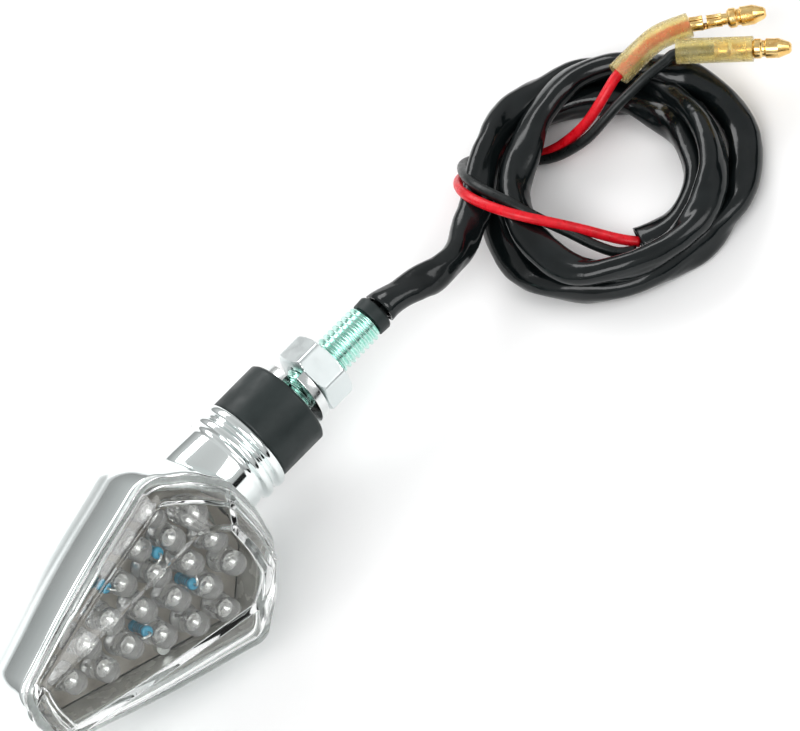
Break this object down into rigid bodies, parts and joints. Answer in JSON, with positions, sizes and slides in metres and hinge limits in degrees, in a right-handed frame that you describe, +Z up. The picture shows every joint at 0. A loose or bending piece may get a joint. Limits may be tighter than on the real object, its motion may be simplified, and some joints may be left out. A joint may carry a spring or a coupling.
{
  "type": "motorcycle turn signal",
  "caption": "Chrome teardrop LED turn signal with a clear faceted lens, rubber flex stem, threaded mounting stud with nut and a two-wire cable with bullet terminals.",
  "frame": {"origin": "centre of the lamp's footprint on the table it lies on, cable left out", "axes": "+X along the stem axis towards the cable, +Z up"},
  "size_m": [0.206, 0.0586, 0.0451],
  "materials": {
    "chrome": "polished",
    "clear_lens": "polished, clear",
    "seal_rubber": "matte",
    "dark_metal": "satin",
    "board": "matte",
    "zinc": "satin zinc plate",
    "tinned": "tinned",
    "black_pvc": "satin",
    "rubber": "soft sheen",
    "zinc_passivated": "pale mint passivate",
    "nut_chrome": "satin",
    "sleeving": "glossy",
    "red_pvc": "satin",
    "brass": "bright",
    "clear_yellow": "translucent",
    "led_epoxy": "clear, slightly milky",
    "resistor_blue": "lacquered"
  },
  "bodies": {
    "stem": {"stud": "zinc_passivated", "inner_leads": "black_pvc", "grommet": "rubber", "sleeving_lead": "sleeving", "sleeving_coil": "sleeving", "red_wire": "red_pvc", "black_wire": "black_pvc", "red_terminal": "brass", "black_terminal": "brass"},
    "collar": {"rubber_collar": "rubber"},
    "head": {"housing": "chrome", "lens": "clear_lens", "lens_gasket": "seal_rubber", "liner": "dark_metal", "circuit_board": "board", "board_screws": "zinc", "led_leads": "tinned", "head_leads": "black_pvc", "ferrule": "zinc", "led_01": "led_epoxy", "led_02": "led_epoxy", "led_03": "led_epoxy", "led_04": "led_epoxy", "led_05": "led_epoxy", "led_06": "led_epoxy", "led_07": "led_epoxy", "led_08": "led_epoxy", "led_09": "led_epoxy", "led_10": "led_epoxy", "led_11": "led_epoxy", "led_12": "led_epoxy", "led_13": "led_epoxy", "led_14": "led_epoxy", "led_15": "led_epoxy", "led_16": "led_epoxy", "led_17": "led_epoxy", "led_18": "led_epoxy", "led_19": "led_epoxy", "led_20": "led_epoxy", "resistor_1": "resistor_blue", "resistor_2": "resistor_blue", "resistor_3": "resistor_blue", "resistor_4": "resistor_blue"},
    "washer": {"lock_washer": "zinc"},
    "nut": {"hex_nut": "nut_chrome"},
    "black_sleeve": {"black_sleeve": "clear_yellow"},
    "red_sleeve": {"red_sleeve": "clear_yellow"}
  },
  "joints": [
    {"name": "stem_bend_up", "type": "hinge", "parent": "stem", "child": "collar", "pos_m": [0.0263, 0.00998, 0.0175], "axis": [0, 1, 0], "range_deg": [-10, 10], "stiffness_Nm_per_rad": 4, "deforming": ["rubber_collar"]},
    {"name": "stem_bend_side", "type": "hinge", "parent": "collar", "child": "head", "pos_m": [0.0206, 0.00998, 0.0175], "axis": [0, 0, 1], "range_deg": [-10, 10], "stiffness_Nm_per_rad": 4},
    {"name": "nut_travel", "type": "slide", "parent": "stem", "child": "washer", "axis": [1, 0, 0], "range_m": [0, 0.009]},
    {"name": "nut_spin", "type": "hinge", "parent": "washer", "child": "nut", "pos_m": [0.0367, 0.00998, 0.0175], "axis": [1, 0, 0], "range_deg": [0, 2600]},
    {"name": "black_sleeve_slide", "type": "slide", "parent": "stem", "child": "black_sleeve", "axis": [0.6631, -0.7371, -0.13], "range_m": [0, 0.005]},
    {"name": "red_sleeve_slide", "type": "slide", "parent": "stem", "child": "red_sleeve", "axis": [0.8934, -0.4402, -0.09], "range_m": [0, 0.003], "deforming": ["red_sleeve"]}
  ],
  "couplings": [
    {"joint": "nut_spin", "follows": "nut_travel", "rad_per_m": 5026.5}
  ]
}
